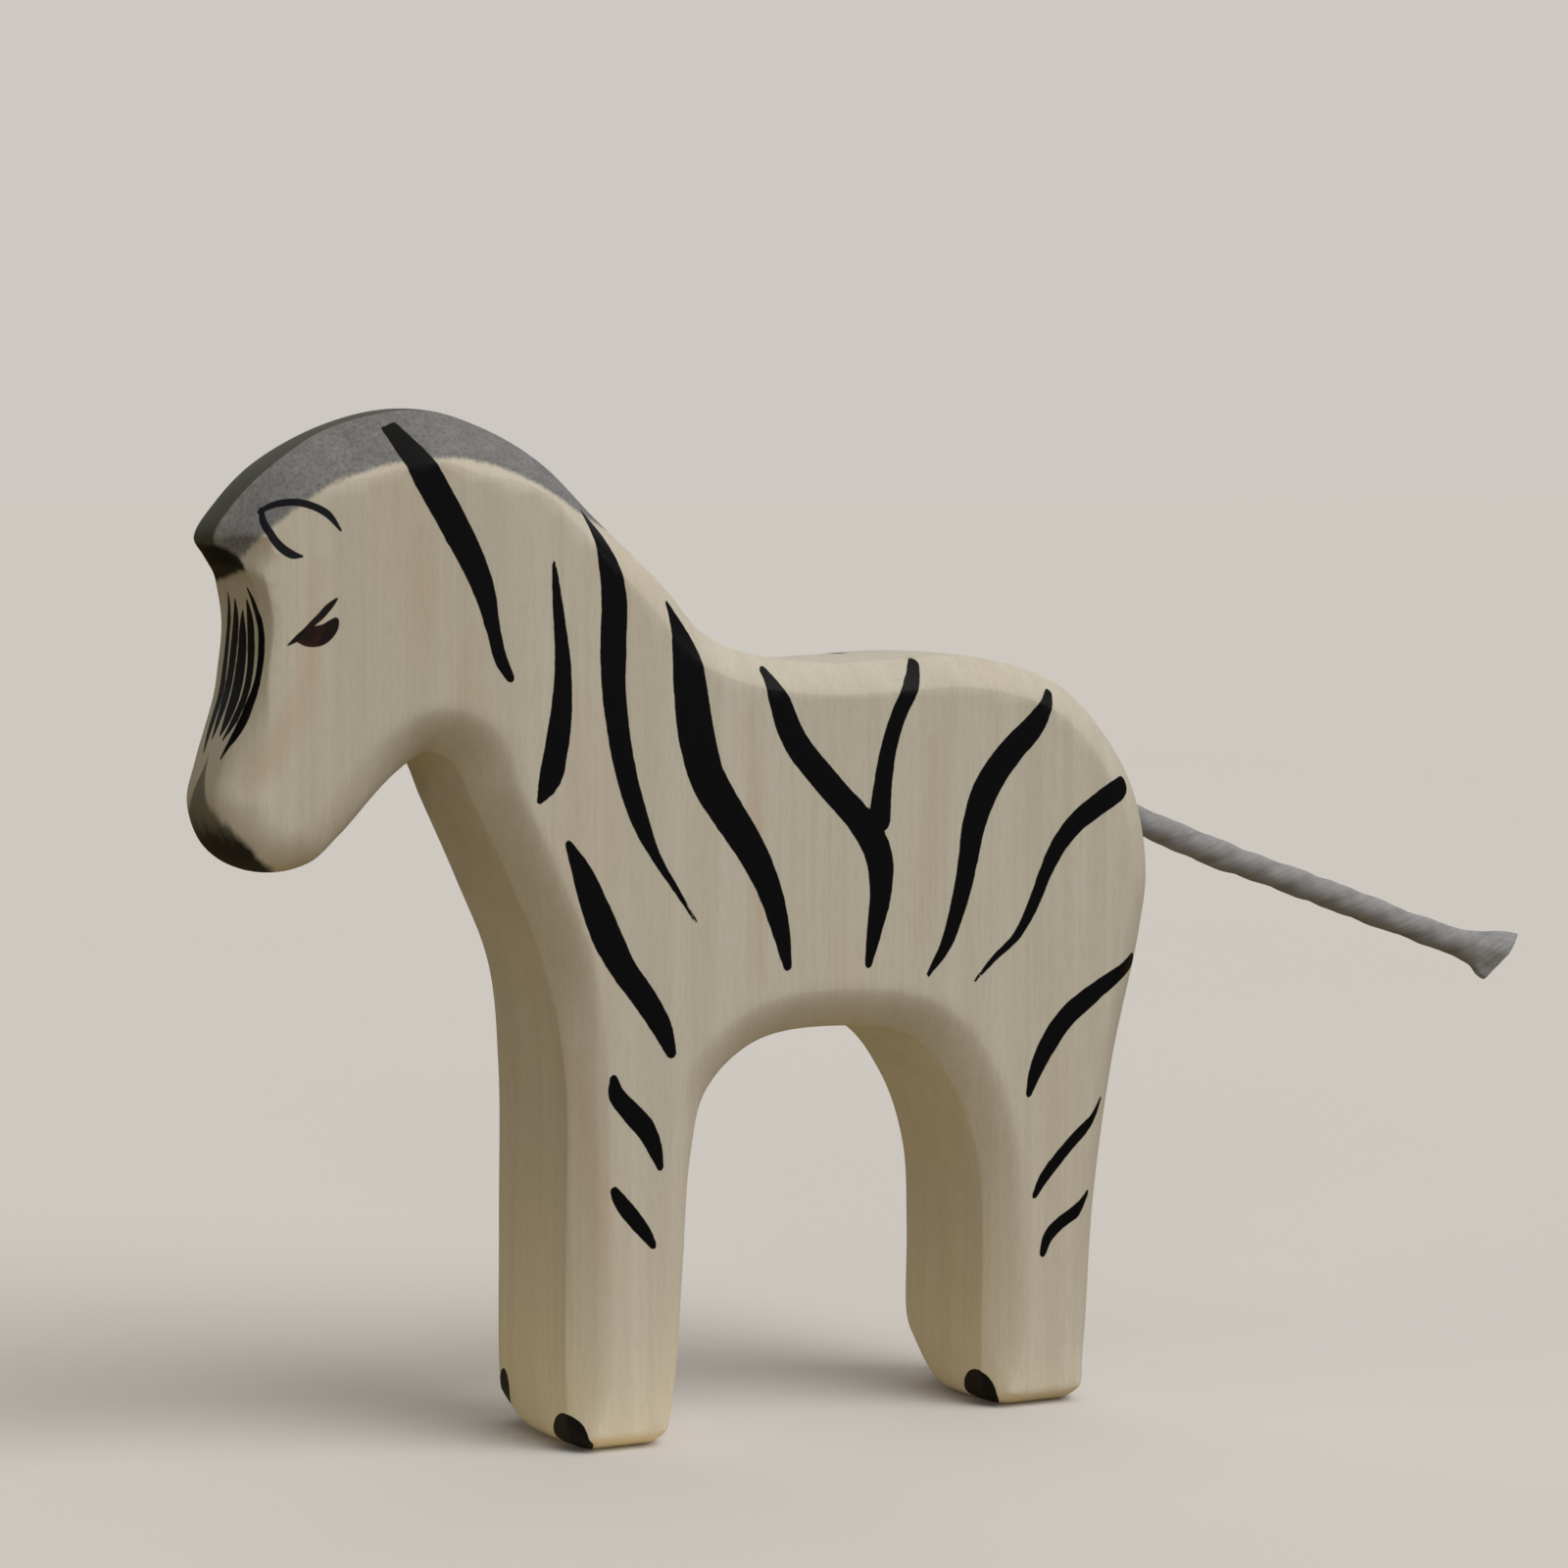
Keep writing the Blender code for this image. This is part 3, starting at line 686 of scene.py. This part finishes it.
heart = maths(tree, "MULTIPLY_ADD", streak, 2.0, maths(tree, "ADD", marks["heart"], -1.0))
bare = laid(tree, ramp(tree, heart, 1.4, -1.6), 0.40, bare, colour(192, 163, 136))

# The washes and the full colours, laid over the bare wood one after the other
speck = noise(tree, place, 2300, 3, 0.65, (1, 1, 0.55))
mottle = noise(tree, place, 420, 3, 0.6)
brush = noise(tree, place, 620, 3, 0.6, (1, 1, 0.22))
edge = maths(tree, "MULTIPLY_ADD", mottle, 0.8, marks["mane"])
edge = maths(tree, "MULTIPLY_ADD", fuzz, 0.7, edge)
wash = mixed(tree, ramp(tree, mottle, 0.25, 0.75), colour(107, 108, 111), colour(126, 126, 129))
wash = laid(tree, ramp(tree, speck, 0.60, 0.34), 0.50, wash, colour(66, 67, 72))
# Painted shade: the mane's wash is darker where it faces away from the sides, onto the rim
wash = laid(tree, ramp(tree, marks["rim"], 0.55, 0.80), 0.92, wash, colour(50, 54, 46))
base = laid(tree, ramp(tree, edge, 0.35, 1.15), 0.93, bare, wash)
dark = maths(tree, "MULTIPLY_ADD", mottle, 1.0, maths(tree, "ADD", marks["forelock"], -0.5))
base = laid(tree, ramp(tree, dark, -0.3, 0.6), 0.97, base, colour(19, 20, 18))
dab = maths(tree, "MULTIPLY_ADD", brush, 1.6, maths(tree, "ADD", marks["muzzle"], -0.8))
low = maths(tree, "MULTIPLY_ADD", brush, 0.004, add(tree, "SeparateXYZ", Vector=place).outputs[2])
soot = mixed(tree, ramp(tree, low, 0.0838, 0.0790), colour(118, 116, 104), colour(9, 9, 10))
base = laid(tree, ramp(tree, dab, -0.35, 0.75), 0.97, base, soot)
base = laid(tree, ramp(tree, marks["ear"], 0.06, -0.06), 0.99, base, colour(15, 18, 27))
iris = mixed(tree, ramp(tree, mottle, 0.45, 0.70), colour(16, 9, 8), colour(44, 19, 17))
base = laid(tree, ramp(tree, marks["eye"], 0.06, -0.08), 0.99, base, iris)
wobble = maths(tree, "ADD", marks["black"], -0.11)
wobble = maths(tree, "MULTIPLY_ADD", noise(tree, place, 700, 2), 0.22, wobble)
black_share = ramp(tree, wobble, 0.06, -0.06)
base = mixed(tree, black_share, base, colour(2, 3, 6))
tree.links.new(base, shader.inputs["Base Color"])
gloss = maths(tree, "MULTIPLY_ADD", black_share, -0.10, 0.58)
tree.links.new(maths(tree, "MULTIPLY_ADD", fuzz, 0.08, gloss), shader.inputs["Roughness"])
shader.inputs["Specular IOR Level"].default_value = 0.12
height = maths(tree, "MULTIPLY_ADD", fibre, 0.6, maths(tree, "MULTIPLY", fuzz, 0.5))
bump = add(tree, "Bump", Height=height, Strength=0.14, Distance=0.00006)
tree.links.new(bump.outputs[0], shader.inputs["Normal"])
body.data.materials.clear()
body.data.materials.append(wood)
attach(body, "root")
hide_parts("body")

# A plain pale floor, which throws back warm light round the legs and meets a backdrop of its own
# colour at the horizon. Soft lamps: the main one from above the zebra's left hip, and weaker ones
# from above, from its left and its front, and from behind its right side.
FLOOR_REACH = 40.0
floor_corners = FLOOR_REACH * np.array([(-1, -1, 0), (1, -1, 0), (1, 1, 0), (-1, 1, 0)])
floor = mesh_from("floor", floor_corners, np.array([[0, 1, 2, 3]]))
pale, tree, shader = new_material("pale floor")
place = add(tree, "TexCoord").outputs["Object"]
tone = noise(tree, place, 3, 2)
seen = mixed(tree, tone, colour(214, 211, 209), colour(217, 214, 212))
straight = add(tree, "LightPath").outputs["Is Camera Ray"]
between = add(tree, "Mapping", Vector=place, Location=(0.008, -0.012, 0.0),
              Scale=(0.45, 1.0, 1.0)).outputs[0]
from_legs = add(tree, "VectorMath", {"operation": "LENGTH"}, i0=between).outputs["Value"]
unseen = mixed(tree, ramp(tree, from_legs, 0.024, 0.058), colour(254, 234, 190), colour(108, 93, 65))
tree.links.new(mixed(tree, straight, unseen, seen), shader.inputs["Base Color"])
shader.inputs["Roughness"].default_value = 0.9
shader.inputs["Specular IOR Level"].default_value = 0.0
floor.data.materials.append(pale)


def lamp(name, towards, softness, strength, tint):
    """A far lamp seen from the object in that direction, its disc that many degrees across."""
    light = bpy.data.lights.new(name, "SUN")
    light.angle = math.radians(softness)
    light.energy = strength
    light.color = tint
    held = bpy.data.objects.new(name, light)
    held.rotation_euler = Vector(towards).to_track_quat("Z", "Y").to_euler()
    bpy.context.scene.collection.objects.link(held)


lamp("key", (0.42, -0.60, 0.67), 50, 2.1, (1.0, 0.985, 0.965))
lamp("left", (-0.5, -0.85, 0.1), 40, 0.82, (1.0, 0.96, 0.88))
lamp("top", (0.2, 0.0, 1.0), 70, 0.88, (1.0, 0.94, 0.82))
lamp("front", (-1.0, -0.1, 0.25), 40, 0.26, (1.0, 0.90, 0.62))
lamp("fill", (0.35, 0.85, 0.30), 70, 0.7, (0.99, 0.99, 1.0))
world = bpy.data.worlds.new("studio")
world.use_nodes = True
tree = world.node_tree
around = tree.nodes["Background"]
around.inputs["Color"].default_value = colour(226, 222, 216)
around.inputs["Strength"].default_value = 0.06
behind = add(tree, "Background", None, Color=colour(205, 200, 193))
both = add(tree, "MixShader", None, i0=add(tree, "LightPath").outputs["Is Camera Ray"],
           i1=around.outputs[0], i2=behind.outputs[0])
tree.links.new(both.outputs[0], tree.nodes["World Output"].inputs["Surface"])
bpy.context.scene.world = world
